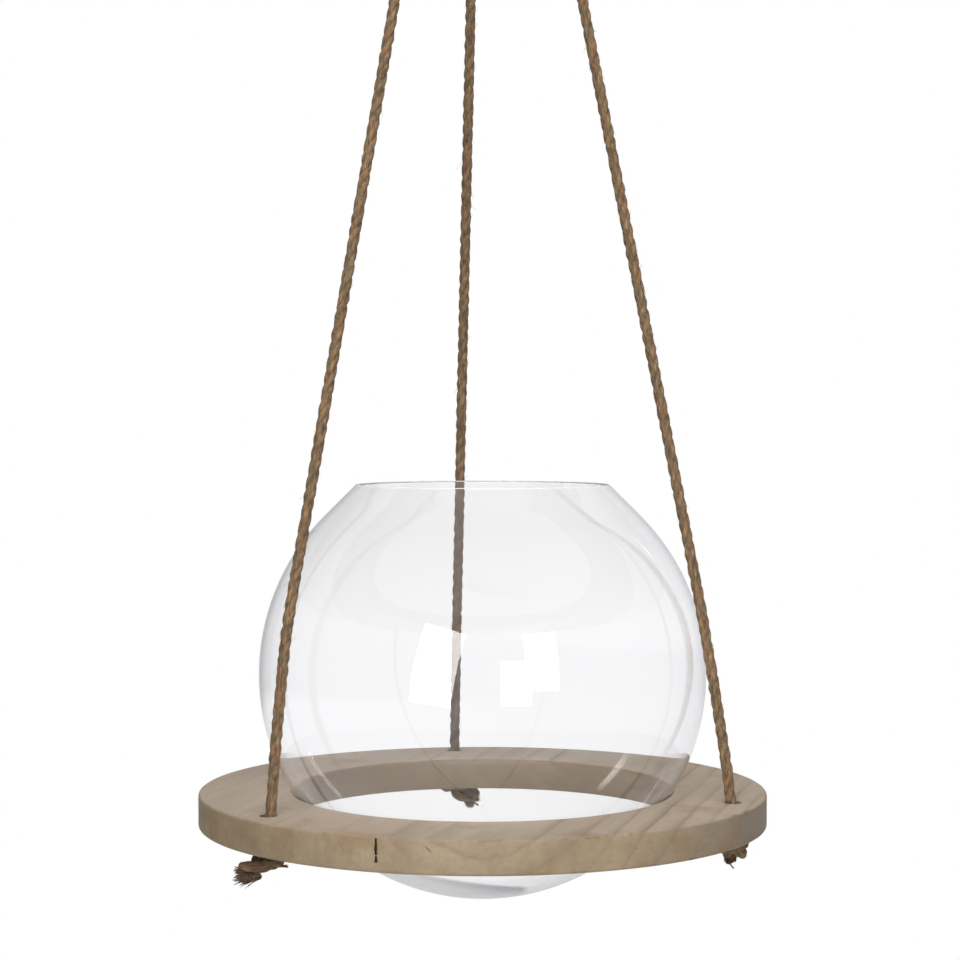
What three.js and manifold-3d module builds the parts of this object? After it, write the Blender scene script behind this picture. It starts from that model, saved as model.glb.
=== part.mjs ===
// A hanging vase: a round glass globe that sits in the hole of a wooden ring, which hangs on three
// knotted ropes. Millimetres, +Z up. The origin is the hanging point, at the top of the loop's eye.
import * as THREE from 'three';
import { mergeVertices } from 'three/addons/utils/BufferGeometryUtils.js';
import Module from 'manifold-3d';

const wasm = await Module();
wasm.setup();

// Gap left between pieces that touch.
const TOUCH_GAP = 0.3;

// Glass globe. The mouth is measured outside the glass, and the shoulder runs straight to it.
const GLOBE_DIAMETER = 197;
const MOUTH_DIAMETER = 112;
const SHOULDER_DEGREES = 45;
const GLASS_WALL = 2.2;
const GLASS_FLOOR = 3;

// Wooden ring.
const RING_DIAMETER = 250;
const RING_HOLE_DIAMETER = 168;
const RING_THICKNESS = 14.5;
const RING_EDGE_RADIUS = 1.2;

// Ropes. The drilled holes are wider than the rope by its play, and keep a width of wood outside them.
const ROPE_DIAMETER = 5;
const ROPE_PLAY = 2.6;
const WOOD_OUTSIDE_HOLE = 7.7;
const ROPE_RISE = 556;
const ROPE_END_DEPTH = 10;
const SWING_LIMIT_DEGREES = 25;

// A rope that is pulled tight in a knot or a wrapping is thinner by this factor.
const PULLED_TIGHT = 0.8;

// Room between strands that lie on each other in a knot or a wrapping.
const STRAND_GAP = 0.6;

// Top of the hanger.
const WRAP_TURNS = 4;
const ENDS_PROUD = 1;
const GRIPPED_ENDS = 5;

// Lower route of a rope: how far in from its hole's axis, and how high above the ring. The left rope
// stands more upright before it leans in.
const LEANING_ROUTE = [
  [0.3, -4],
  [1.2, 2],
  [2.1, 10],
  [3.6, 20],
  [5.2, 30],
  [7.0, 41],
  [9.0, 53],
  [11.3, 66],
  [14.0, 81],
];
const UPRIGHT_ROUTE = [
  [0.3, -4],
  [1.2, 2],
  [1.9, 10],
  [2.8, 20],
  [3.7, 30],
  [4.9, 41],
  [6.3, 53],
  [7.8, 66],
  [10.2, 81],
];
const STRAIGHT_POINTS = 8;

// Where each rope stands round the ring, its route, which way the tail of its knot points, and how
// many of the tail's points it has.
const ROPES = [
  { name: 'left', azimuth: -141, route: UPRIGHT_ROUTE, tailAzimuth: 185, tailPoints: 3 },
  { name: 'right', azimuth: -20, route: LEANING_ROUTE, tailAzimuth: 95, tailPoints: 2 },
  { name: 'back', azimuth: 97, route: LEANING_ROUTE, tailAzimuth: 0, tailPoints: 1 },
];

// Half of the hanging loop's centreline, from its crown: half width, and drop below the crown.
const LOOP_ROUTE = [
  [4.6, 0.9],
  [8.1, 4],
  [10.1, 8.5],
  [10.4, 13.5],
  [9.3, 19.5],
  [7.1, 25.5],
  [4.9, 30.5],
  [3.3, 34.5],
];
const LOOP_DROP = 38.5;

// Half of an overhand knot, from its middle to the standing rope, in steps of one strand. The other
// half is the same, turned half a turn about the knot's X axis.
const KNOT_HALF = [
  [-0.95, 0, 0],
  [-0.9, 0.45, -0.45],
  [-0.6, 0.9, -0.95],
  [0.05, 1.05, -1.25],
  [0.7, 0.75, -1.3],
  [1.05, 0.2, -1],
  [1, -0.3, -0.5],
  [0.65, -0.5, 0],
  [0.2, -0.3, 0.45],
  [0, 0.05, 1],
];
const KNOT_TAIL = [
  [0.05, 1.1, -1.32],
  [0.05, 1.8, -1.44],
  [0, 2.4, -1.46],
];
const KNOT_TILT_DEGREES = 40;

// Facets.
const ROUND_STEPS = 96;
const GLOBE_STEPS = 60;
const ARC_STEPS = 18;
const EDGE_STEPS = 2;
const LIP_STEPS = 4;
const HOLE_STEPS = 24;
const LOBE_STEPS = 6;
const ROPE_SIDES = 10;
const ROPE_STEPS = 26;
const LOOP_STEPS = 40;
const KNOT_SIDES = 8;
const KNOT_STEPS = 64;
const WRAP_SIDES = 6;
const TURN_STEPS = 24;
const OVERCUT = 5;

const radians = THREE.MathUtils.degToRad;

// Places that follow from the sizes.
const ropeRadius = ROPE_DIAMETER / 2;
const tightDiameter = ROPE_DIAMETER * PULLED_TIGHT;
const strandPitch = tightDiameter + STRAND_GAP;
const holeRadius = (ROPE_DIAMETER + ROPE_PLAY) / 2;
const holeCircle = RING_DIAMETER / 2 - WOOD_OUTSIDE_HOLE - holeRadius;
const gatherRadius = (ROPE_DIAMETER + TOUCH_GAP) / Math.sqrt(3);
const legOffset = (ROPE_DIAMETER + TOUCH_GAP) / 2;
const lobeCircle = tightDiameter / 2 / Math.sin(Math.PI / GRIPPED_ENDS);
const bundleRadius = lobeCircle + tightDiameter / 2;
const wrapRadius = bundleRadius + TOUCH_GAP + tightDiameter / 2;
const wrapHeight = WRAP_TURNS * strandPitch + tightDiameter;

const loopCrown = ropeRadius;
const loopEnds = loopCrown - LOOP_DROP;
const bundleTop = loopEnds - ropeRadius - TOUCH_GAP;
const bundleBottom = bundleTop - wrapHeight - 2 * ENDS_PROUD;
const ropePivot = bundleBottom - TOUCH_GAP - ropeRadius;
const ringTop = ropePivot - ROPE_RISE;
const ringBottom = ringTop - RING_THICKNESS;

// The globe rests on the rounded inner edge of the ring.
const globeRadius = GLOBE_DIAMETER / 2;
const seatReach = globeRadius + TOUCH_GAP + RING_EDGE_RADIUS;
const seatRadius = RING_HOLE_DIAMETER / 2 + RING_EDGE_RADIUS;
const globeCentre = ringTop - RING_EDGE_RADIUS + Math.sqrt(seatReach ** 2 - seatRadius ** 2);

const glass = new THREE.MeshStandardMaterial({
  color: 0xe6ecee,
  roughness: 0.03,
  metalness: 0,
  transparent: true,
  opacity: 0.3,
});
const wood = new THREE.MeshStandardMaterial({ color: 0xa79684, roughness: 0.7, metalness: 0 });
const jute = new THREE.MeshStandardMaterial({ color: 0x8a6a48, roughness: 0.95, metalness: 0 });

const vase = new THREE.Group();
vase.name = 'hanging_vase';

function addPiece(name, geometry, material) {
  const mesh = new THREE.Mesh(geometry, material);
  mesh.name = name;
  vase.add(mesh);
  return mesh;
}

// A closed geometry as a solid for a cut or a join.
function toSolid(geometry) {
  const bare = geometry.clone();
  bare.deleteAttribute('normal');
  bare.deleteAttribute('uv');
  const merged = mergeVertices(bare);
  return new wasm.Manifold(
    new wasm.Mesh({
      numProp: 3,
      vertProperties: new Float32Array(merged.attributes.position.array),
      triVerts: new Uint32Array(merged.index.array),
    }),
  );
}

function toGeometry(solid) {
  const mesh = solid.getMesh();
  const geometry = new THREE.BufferGeometry();
  geometry.setAttribute('position', new THREE.BufferAttribute(mesh.vertProperties, 3));
  geometry.setIndex(new THREE.BufferAttribute(mesh.triVerts, 1));
  geometry.computeVertexNormals();
  return geometry;
}

// Points of an arc in a profile, whose X is the radius and Y the height.
function arc(centreX, centreY, radius, startDegrees, endDegrees, steps) {
  return Array.from({ length: steps + 1 }, (_, index) => {
    const angle = radians(THREE.MathUtils.lerp(startDegrees, endDegrees, index / steps));
    return new THREE.Vector2(centreX + radius * Math.cos(angle), centreY + radius * Math.sin(angle));
  });
}

// A profile turned about Z.
function revolve(profile, steps) {
  return new THREE.LatheGeometry(profile, steps).rotateX(Math.PI / 2);
}

// A round tube along a smooth curve through the points.
function tube(points, diameter, sides, steps) {
  const section = new THREE.Shape(
    Array.from({ length: sides }, (_, index) => {
      const angle = (2 * Math.PI * index) / sides;
      return new THREE.Vector2(Math.cos(angle), Math.sin(angle)).multiplyScalar(diameter / 2);
    }),
  );
  const path = new THREE.CatmullRomCurve3(points, false, 'centripetal');
  return new THREE.ExtrudeGeometry(section, { steps, bevelEnabled: false, extrudePath: path });
}

// A tube with a round end on the listed points.
function roundEndedTube(points, ends, steps) {
  let solid = toSolid(tube(points, ROPE_DIAMETER, ROPE_SIDES, steps));
  for (const end of ends) {
    const ball = new THREE.SphereGeometry(ropeRadius, ROPE_SIDES, ROPE_SIDES / 2);
    solid = solid.add(toSolid(ball.rotateX(Math.PI / 2).translate(end.x, end.y, end.z)));
  }
  return toGeometry(solid);
}

// Least gap of a wound tube to itself, measured on points that are over two diameters apart along it.
function printOwnGap(label, points, diameter) {
  const path = new THREE.CatmullRomCurve3(points, false, 'centripetal');
  const length = path.getLength();
  const samples = path.getSpacedPoints(Math.ceil(length / (diameter / 16)));
  const skip = Math.ceil((2 * diameter * samples.length) / length);
  let least = Infinity;
  for (let i = 0; i < samples.length; i += 1) {
    for (let j = i + skip; j < samples.length; j += 1) {
      least = Math.min(least, samples[i].distanceTo(samples[j]));
    }
  }
  console.log(`${label}: least gap to itself ${(least - diameter).toFixed(2)} mm`);
}

function makeGlobe() {
  const inside = globeRadius - GLASS_WALL;
  const mouth = MOUTH_DIAMETER / 2;
  const shoulder = radians(SHOULDER_DEGREES);
  const slope = new THREE.Vector2(-Math.sin(shoulder), Math.cos(shoulder));
  const outward = new THREE.Vector2(Math.cos(shoulder), Math.sin(shoulder));
  const run = (globeRadius * outward.x - mouth) / -slope.x;
  const lipCentre = outward
    .clone()
    .multiplyScalar(globeRadius - GLASS_WALL / 2)
    .addScaledVector(slope, run);
  const floorLift = GLASS_FLOOR - GLASS_WALL;
  const outer = arc(0, 0, globeRadius, -90, SHOULDER_DEGREES, ARC_STEPS);
  const lip = arc(
    lipCentre.x, lipCentre.y, GLASS_WALL / 2, SHOULDER_DEGREES, SHOULDER_DEGREES + 180, LIP_STEPS,
  );
  const inner = arc(0, 0, inside, SHOULDER_DEGREES, -90, ARC_STEPS);
  for (const point of inner) {
    point.y += floorLift * Math.max(0, -point.y / inside) ** 4;
  }
  outer[0].x = 0;
  inner[ARC_STEPS].x = 0;
  addPiece('glass_globe', revolve([...outer, ...lip, ...inner], GLOBE_STEPS), glass)
    .position.set(0, 0, globeCentre);
}

function makeRing() {
  const outside = RING_DIAMETER / 2 - RING_EDGE_RADIUS;
  const top = ringTop - RING_EDGE_RADIUS;
  const bottom = ringBottom + RING_EDGE_RADIUS;
  const profile = [
    ...arc(outside, bottom, RING_EDGE_RADIUS, -90, 0, EDGE_STEPS),
    ...arc(outside, top, RING_EDGE_RADIUS, 0, 90, EDGE_STEPS),
    ...arc(seatRadius, top, RING_EDGE_RADIUS, 90, 180, EDGE_STEPS),
    ...arc(seatRadius, bottom, RING_EDGE_RADIUS, 180, 270, EDGE_STEPS),
  ];
  profile.push(profile[0].clone());
  let solid = toSolid(revolve(profile, ROUND_STEPS));
  const drill = new THREE.CylinderGeometry(
    holeRadius, holeRadius, RING_THICKNESS + 2 * OVERCUT, HOLE_STEPS,
  ).rotateX(Math.PI / 2);
  for (const rope of ROPES) {
    const place = ropePlane(rope, holeCircle, (ringTop + ringBottom) / 2);
    solid = solid.subtract(toSolid(drill.clone().translate(place.x, place.y, place.z)));
  }
  addPiece('wooden_ring', toGeometry(solid), wood);
}

// A point in the upright plane of a rope.
function ropePlane(rope, radius, height) {
  const angle = radians(rope.azimuth);
  return new THREE.Vector3(radius * Math.cos(angle), radius * Math.sin(angle), height);
}

// A rope rises from inside its hole, leans in past the globe and runs straight to where the ropes meet.
// Its upper end stays low enough to clear the gripped ends when the ring swings to its limit.
function makeRope(rope) {
  const top = ropePlane(rope, gatherRadius, ropePivot);
  top.z -= Math.abs(top.x) * Math.sin(radians(SWING_LIMIT_DEGREES));
  const points = [ropePlane(rope, holeCircle, ringTop - ROPE_END_DEPTH)];
  for (const [inset, height] of rope.route) {
    points.push(ropePlane(rope, holeCircle - inset, ringTop + height));
  }
  const bend = points[points.length - 1];
  for (let index = 1; index <= STRAIGHT_POINTS; index += 1) {
    points.push(bend.clone().lerp(top, index / STRAIGHT_POINTS));
  }
  addPiece(`rope_${rope.name}`, roundEndedTube(points, [top], ROPE_STEPS), jute);
}

// An overhand knot, tilted so that it lies flat against the ring, with its standing rope in the hole.
function knotPoints(rope) {
  const upper = KNOT_HALF.map(([x, y, z]) => new THREE.Vector3(x, y, z)).reverse();
  const lower = KNOT_HALF.slice(1).map(([x, y, z]) => new THREE.Vector3(x, -y, -z));
  const tilt = radians(KNOT_TILT_DEGREES);
  const xAxis = new THREE.Vector3(1, 0, 0);
  const body = [...upper, ...lower].map((point) => point.applyAxisAngle(xAxis, tilt));
  const tail = KNOT_TAIL.slice(0, rope.tailPoints).map(([x, y, z]) => new THREE.Vector3(x, y, z));
  const knot = [...body, ...tail].map((point) => point.multiplyScalar(strandPitch));
  const standing = knot[0].clone();
  const crest = Math.max(...knot.slice(2).map((point) => point.z));
  const under = -RING_THICKNESS - TOUCH_GAP - tightDiameter / 2;
  for (const point of knot) {
    point.x -= standing.x;
    point.y -= standing.y;
    point.z += under - crest;
  }
  const entry = new THREE.Vector3(0, 0, -ROPE_END_DEPTH - TOUCH_GAP);
  const exit = new THREE.Vector3(0, 0, -RING_THICKNESS);
  return [entry, exit, ...knot];
}

function makeKnot(rope) {
  const points = knotPoints(rope);
  printOwnGap(`stopper_knot_${rope.name}`, points, tightDiameter);
  const mesh = addPiece(
    `stopper_knot_${rope.name}`,
    tube(points, tightDiameter, KNOT_SIDES, KNOT_STEPS),
    jute,
  );
  mesh.position.copy(ropePlane(rope, holeCircle, ringTop));
  mesh.rotation.z = radians(rope.tailAzimuth - 90);
}

// The ends that the wrapping grips lie side by side in a ring, pressed together.
function makeGrippedEnds() {
  const outline = [];
  const share = 180 / GRIPPED_ENDS;
  for (let index = 0; index < GRIPPED_ENDS; index += 1) {
    const facing = 2 * share * index;
    const x = lobeCircle * Math.cos(radians(facing));
    const y = lobeCircle * Math.sin(radians(facing));
    const lobe = arc(
      x, y, tightDiameter / 2, facing - 90 - share, facing + 90 + share, LOBE_STEPS,
    );
    outline.push(...lobe.slice(0, LOBE_STEPS));
  }
  const geometry = new THREE.ExtrudeGeometry(new THREE.Shape(outline), {
    depth: bundleTop - bundleBottom,
    bevelEnabled: false,
  });
  addPiece('gripped_ends', geometry, jute).position.set(0, 0, bundleBottom);
}

// The wrapping is one helix, with a straight end of one diameter at each side.
function makeWrap() {
  const points = [];
  const steps = WRAP_TURNS * TURN_STEPS;
  const start = bundleBottom + ENDS_PROUD + tightDiameter / 2;
  for (let index = 0; index <= steps; index += 1) {
    const turn = index / TURN_STEPS;
    const angle = 2 * Math.PI * turn;
    points.push(
      new THREE.Vector3(
        wrapRadius * Math.cos(angle),
        wrapRadius * Math.sin(angle),
        start + strandPitch * turn,
      ),
    );
  }
  points.unshift(straightOn(points[1], points[0]));
  points.push(straightOn(points[steps], points[steps + 1]));
  printOwnGap('top_wrap', points, tightDiameter);
  addPiece('top_wrap', tube(points, tightDiameter, WRAP_SIDES, steps), jute);
}

// The point one tight diameter beyond the second of two points.
function straightOn(from, to) {
  const direction = to.clone().sub(from).normalize();
  return to.clone().addScaledVector(direction, tightDiameter);
}

function makeLoop() {
  const side = LOOP_ROUTE.map(([x, drop]) => new THREE.Vector3(x, 0, loopCrown - drop));
  side.push(new THREE.Vector3(legOffset, 0, loopEnds));
  const mirrored = side.map((point) => new THREE.Vector3(-point.x, 0, point.z)).reverse();
  const points = [...mirrored, new THREE.Vector3(0, 0, loopCrown), ...side];
  const ends = [points[0], points[points.length - 1]];
  addPiece('hanging_loop', roundEndedTube(points, ends, LOOP_STEPS), jute);
}

makeGlobe();
makeRing();
for (const rope of ROPES) {
  makeRope(rope);
  makeKnot(rope);
}
makeGrippedEnds();
makeWrap();
makeLoop();

export default vase;
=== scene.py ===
# %% [markdown]
# # A hanging vase of glass, wood and jute
# The real thing is a blown glass globe that sits in the hole of a round wooden board. Three jute
# ropes come up through the board, each stopped underneath by a knot, and meet above in a loop.
# The CAD model gives every size and place. This lesson keeps those and makes what shows: the laid
# rope, the frayed tails, the grain of the board and the clear glass.

# %% Load the frame
import math
import random

import bmesh
import bpy
import numpy as np
from mathutils import Matrix, Vector, noise
from mathutils.geometry import interpolate_bezier


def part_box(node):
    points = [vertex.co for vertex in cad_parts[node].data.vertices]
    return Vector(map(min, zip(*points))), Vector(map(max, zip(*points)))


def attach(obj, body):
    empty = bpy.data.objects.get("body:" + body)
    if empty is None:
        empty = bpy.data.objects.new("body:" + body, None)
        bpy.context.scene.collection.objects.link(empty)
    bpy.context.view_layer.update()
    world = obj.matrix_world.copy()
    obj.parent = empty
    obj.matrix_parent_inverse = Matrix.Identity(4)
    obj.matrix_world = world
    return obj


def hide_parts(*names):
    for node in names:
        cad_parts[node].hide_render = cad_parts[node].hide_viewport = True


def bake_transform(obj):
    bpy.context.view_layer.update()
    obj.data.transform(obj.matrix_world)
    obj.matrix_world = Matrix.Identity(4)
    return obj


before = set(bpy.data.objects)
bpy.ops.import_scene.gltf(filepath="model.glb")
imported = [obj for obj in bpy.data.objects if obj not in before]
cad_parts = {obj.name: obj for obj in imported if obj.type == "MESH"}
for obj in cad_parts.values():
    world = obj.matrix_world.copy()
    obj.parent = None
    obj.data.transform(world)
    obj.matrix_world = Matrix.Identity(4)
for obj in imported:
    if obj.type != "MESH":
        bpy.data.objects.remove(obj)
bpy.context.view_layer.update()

MM = 0.001
ring_low, ring_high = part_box("wooden_ring")
ring_top = ring_high.z
ring_bottom = ring_low.z

# %% [markdown]
# ## The camera
# The picture was taken from a metre away with a long lens, a little above the board, so the board
# shows as a flat ellipse. The place was found by fitting the board's rim, the globe's outline and
# the ropes, and the lens from how fast the ropes close in. No piece is worked out from it.

# %% Camera
LENS_LENGTH = 85.83
CAMERA_PLACE = (-0.00113, -1.010, -0.45785)
CAMERA_DIP = 1.573


def put_in_scene(name, data):
    made = bpy.data.objects.new(name, data)
    bpy.context.scene.collection.objects.link(made)
    return made


lens = bpy.data.cameras.new("photo_camera")
lens.sensor_width = 36
lens.lens = LENS_LENGTH
camera = put_in_scene("photo_camera", lens)
camera.location = CAMERA_PLACE
camera.rotation_euler = (math.radians(90 - CAMERA_DIP), 0, 0)
bpy.context.scene.camera = camera
print("camera field of view in degrees:", round(math.degrees(lens.angle), 2))

# %% [markdown]
# ## A smooth line through a rope's stations
# A rope follows a few stations, the places where it is held or where it turns. A Catmull-Rom line
# passes through every station with hardly any overshoot. Each stretch of it is a Bezier curve, so
# Blender's own interpolate_bezier can draw it. The line is then cut into equal steps, because a
# twist is only even when the steps are.

# %% Smooth line
BEZIER_POINTS = 24


def bezier_handle(before, here, after):
    near = math.sqrt((here - before).length)
    far = math.sqrt((after - here).length)
    pulled = near * near * after - far * far * before
    pulled += (2 * near * near + 3 * near * far + far * far) * here
    return pulled / (3 * near * (near + far))


def smooth_line(stations, step):
    first = 2 * stations[0] - stations[1]
    last = 2 * stations[-1] - stations[-2]
    ends = [first, *stations, last]
    fine = [stations[0]]
    for before, here, after, beyond in zip(ends, ends[1:], ends[2:], ends[3:]):
        leaving = bezier_handle(before, here, after)
        arriving = bezier_handle(beyond, after, here)
        fine += interpolate_bezier(here, leaving, arriving, after, BEZIER_POINTS)[1:]
    reach = np.cumsum([0] + [(b - a).length for a, b in zip(fine, fine[1:])])
    along = np.linspace(0, reach[-1], round(reach[-1] / step) + 1)
    columns = [np.interp(along, reach, [place[axis] for place in fine]) for axis in range(3)]
    return [Vector(place) for place in zip(*columns)]


def length_of(line):
    return sum((b - a).length for a, b in zip(line, line[1:]))


# %% [markdown]
# ## Three strands laid into a rope
# The ropes are jute, three strands laid right-handed, so the ridges rise to the right. Three tubes
# wound round each other would hide half of their faces inside. Here one outline with three lobes is
# swept along the line instead, and the curve's tilt turns it once for every lay, so only the
# outside is made. Each point also remembers where it is in the straight rope, as an attribute, so
# the fibres of the material run along the rope through every bend and knot.

# %% The rope's outline
STRAND_RADIUS = 1.7 * MM
STRAND_OFFSET = 0.8 * MM
LAY_LENGTH = 19 * MM
POINTS_PER_STRAND = 10

outline = bpy.data.curves.new("rope_outline", "CURVE")
outline.dimensions = "2D"
edge = outline.splines.new("POLY")
edge.points.add(3 * POINTS_PER_STRAND - 1)
edge.use_cyclic_u = True
for number, point in enumerate(edge.points):
    angle = math.tau * number / len(edge.points)
    turned = angle % (math.tau / 3) - math.tau / 6
    across = STRAND_OFFSET * math.sin(turned)
    reach = STRAND_OFFSET * math.cos(turned) + math.sqrt(STRAND_RADIUS**2 - across**2)
    point.co = (reach * math.cos(angle), reach * math.sin(angle), 0, 1)
outline_places = [point.co.to_3d() for point in edge.points]
rope_outline = put_in_scene("rope_outline", outline)
print("points round the rope:", len(edge.points))


# %% Tools for lines and curves
def travel_frames(line):
    """The direction and two square directions at every point, carried along without twisting."""
    ahead = [(b - a).normalized() for a, b in zip(line, line[1:])]
    ahead.append(ahead[-1])
    side = ahead[0].orthogonal().normalized()
    frames = []
    for direction in ahead:
        side = (side - side.dot(direction) * direction).normalized()
        frames.append((direction, side, direction.cross(side)))
    return frames


def mesh_as_seen(piece):
    """A mesh of the piece with its bevel or its modifiers worked out."""
    bpy.context.view_layer.update()
    seen = piece.evaluated_get(bpy.context.evaluated_depsgraph_get())
    return bpy.data.meshes.new_from_object(seen)


def mesh_from_curve(curve, name):
    drawn = put_in_scene(name + "_drawn", curve)
    mesh = mesh_as_seen(drawn)
    mesh.name = name
    bpy.data.objects.remove(drawn)
    return put_in_scene(name, mesh)


# %% Sweep a rope along a line
WANDERS_PER_METRE = 70
LUMPS_PER_METRE = 380
EVEN_GIRTH = 0.98
WANDER_GIRTH = 0.06
LUMP_GIRTH = 0.11
WANDER_TURN = 0.6
ROPES_APART = 0.7


def lay_rope(name, line, girth, seed):
    curve = bpy.data.curves.new(name + "_line", "CURVE")
    curve.dimensions = "3D"
    curve.twist_mode = "MINIMUM"
    curve.bevel_mode = "OBJECT"
    curve.bevel_object = rope_outline
    curve.use_fill_caps = True
    spline = curve.splines.new("POLY")
    spline.points.add(len(line) - 1)
    step = length_of(line) / (len(line) - 1)
    for number, (place, wide) in enumerate(zip(line, girth)):
        point = spline.points[number]
        wander = noise.noise(Vector((number * step * WANDERS_PER_METRE, seed, 0)))
        lumps = noise.noise(Vector((number * step * LUMPS_PER_METRE, seed, 5)))
        point.co = (*place, 1)
        point.radius = wide * (EVEN_GIRTH + WANDER_GIRTH * wander + LUMP_GIRTH * lumps)
        point.tilt = math.tau * number * step / LAY_LENGTH + WANDER_TURN * wander
    piece = mesh_from_curve(curve, name)
    remember_rope_place(piece, spline.points, step, seed)
    return piece


# %% Remember each point's place in the straight rope
def remember_rope_place(piece, stations, step, seed):
    """The mesh has the caps of the last and first stations, then a ring of points for each one."""
    rings = [len(stations) - 1, 0, *range(len(stations))]
    ropes_own = piece.data.attributes.new("rope_place", "FLOAT_VECTOR", "POINT")
    for number, kept in enumerate(ropes_own.data):
        ring, spoke = divmod(number, len(outline_places))
        station = stations[rings[ring]]
        laid = Matrix.Rotation(-station.tilt, 3, "Z") @ outline_places[spoke] * station.radius
        kept.vector = laid + Vector((0, 0, rings[ring] * step + ROPES_APART * seed))


# %% [markdown]
# ## The three ropes
# Each rope stands in its drilled hole, leans in along the globe, and runs straight to the place
# where all three are bound together. The stations are the CAD model's own, so the rope lies where
# its solid does. Above the view the rope goes on through the binding, pressed a little thinner.

# %% Rope stations
HOLE_CIRCLE = 113.5 * MM
ROPE_SINKS = 10 * MM
GATHER_RADIUS = 3.06 * MM
GATHER_HEIGHT = -67.3 * MM
BUNDLE_TOP = -38.8 * MM
BUNDLE_BOTTOM = -63.2 * MM
BUNDLE_CIRCLE = 3.4 * MM
BUNDLE_ENTRY = 4 * MM
BUNDLE_EXIT = 8 * MM
END_INSET = 0.4 * MM
TIGHT = 0.8
LEANING_ROUTE = ((0.3, -4), (1.2, 2), (2.1, 10), (3.6, 20), (5.2, 30), (7, 41), (9, 53),
                 (11.3, 66), (14, 81))
UPRIGHT_ROUTE = ((0.3, -4), (1.2, 2), (1.9, 10), (2.8, 20), (3.7, 30), (4.9, 41), (6.3, 53),
                 (7.8, 66), (10.2, 81))
STRAIGHT_STATIONS = 8
ROPE_STEP = 0.9 * MM
print("stations of a rope:", len(UPRIGHT_ROUTE) + STRAIGHT_STATIONS + 4)


# %% Find a rope's stations
def outward(degrees):
    return Vector((math.cos(math.radians(degrees)), math.sin(math.radians(degrees)), 0))


def upright(height):
    return Vector((0, 0, height))


def rope_stations(azimuth, route, bundle_azimuth):
    out = outward(azimuth)
    stations = [out * HOLE_CIRCLE + upright(ring_top - ROPE_SINKS)]
    for inset, height in route:
        stations.append(out * (HOLE_CIRCLE - inset * MM) + upright(ring_top + height * MM))
    start = stations[-1]
    gathered = out * GATHER_RADIUS + upright(GATHER_HEIGHT)
    for number in range(1, STRAIGHT_STATIONS + 1):
        stations.append(start.lerp(gathered, number / STRAIGHT_STATIONS))
    bundled = outward(bundle_azimuth) * BUNDLE_CIRCLE
    for height in (BUNDLE_BOTTOM + BUNDLE_ENTRY, BUNDLE_TOP - BUNDLE_EXIT, BUNDLE_TOP - END_INSET):
        stations.append(bundled + upright(height))
    return stations


def girth_along(line):
    """Full size below the binding, pressed to TIGHT inside it."""
    sizes = []
    for place in line:
        pressed = min(1, max(0, (place.z - GATHER_HEIGHT + 3 * MM) / (8 * MM)))
        sizes.append(1 + (TIGHT - 1) * pressed)
    return sizes


# %% Lay the ropes
HOLE_AZIMUTHS = {"left": -141, "right": -20, "back": 97}
ROUTES = {"left": UPRIGHT_ROUTE, "right": LEANING_ROUTE, "back": LEANING_ROUTE}
BUNDLE_AZIMUTHS = {"left": 240, "right": 312, "back": 96}
rope_lines = {}
rope_pieces = {}
for number, (which, azimuth) in enumerate(HOLE_AZIMUTHS.items()):
    stations = rope_stations(azimuth, ROUTES[which], BUNDLE_AZIMUTHS[which])
    line = smooth_line(stations, ROPE_STEP)
    rope = lay_rope(which + "_rope", line, girth_along(line), number + 1)
    rope_lines[which] = line
    rope_pieces[which] = rope
    print(rope.name, "is", round(length_of(line) / MM), "mm long,", len(rope.data.polygons), "faces")

# %% [markdown]
# ## The stopper knots
# Under the board every rope ends in an overhand knot, the simplest stopper: a round turn, and the
# end tucked through it. Knots are hard to draw freehand, so the line comes as half of the knot,
# and the other half is that half turned over. Pulled up tight, the rope is a little thinner here.
# One last station leads out of the knot to the cut end, where the frayed tail starts.

# %% Knot stations
KNOT_HALF = ((-.95, 0, 0), (-.9, .45, -.45), (-.6, .9, -.95), (.05, 1.05, -1.25), (.7, .75, -1.3),
             (1.05, .2, -1), (1, -.3, -.5), (.65, -.5, 0), (.2, -.3, .45), (0, .05, 1))
KNOT_END = (.05, 1.1, -1.32)
KNOT_ENTRY = -10.3 * MM
KNOT_TILT = 40
STRAND_PITCH = 4.6 * MM
KNOT_CREST = ring_bottom - 2.3 * MM
KNOT_GIRTH = 0.98
TAIL_AZIMUTHS = {"left": 185, "right": 95, "back": 0}


def knot_stations(azimuth, tail_azimuth):
    tilt = Matrix.Rotation(math.radians(KNOT_TILT), 3, "X")
    half = [Vector(place) for place in KNOT_HALF]
    turned_over = [Vector((place.x, -place.y, -place.z)) for place in half[1:]]
    knot = [tilt @ place for place in half[::-1] + turned_over]
    knot.append(Vector(KNOT_END))
    knot = [place * STRAND_PITCH for place in knot]
    crest = max(place.z for place in knot[2:])
    moved = Vector((-knot[0].x, -knot[0].y, KNOT_CREST - ring_top - crest))
    knot = [upright(KNOT_ENTRY), upright(ring_bottom - ring_top)] + [place + moved for place in knot]
    turn = Matrix.Rotation(math.radians(tail_azimuth - 90), 3, "Z")
    hole = outward(azimuth) * HOLE_CIRCLE + upright(ring_top)
    return [hole + turn @ place for place in knot]


# %% Tie the knots
KNOT_STEP = 0.5 * MM
knot_lines = {}
knot_pieces = {}
for number, (which, azimuth) in enumerate(HOLE_AZIMUTHS.items()):
    stations = knot_stations(azimuth, TAIL_AZIMUTHS[which])
    line = smooth_line(stations, KNOT_STEP)
    knot = lay_rope(which + "_knot", line, [KNOT_GIRTH] * len(line), number + 11)
    knot_lines[which] = line
    knot_pieces[which] = knot
    print(knot.name, "takes", round(length_of(line) / MM), "mm of rope")

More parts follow.
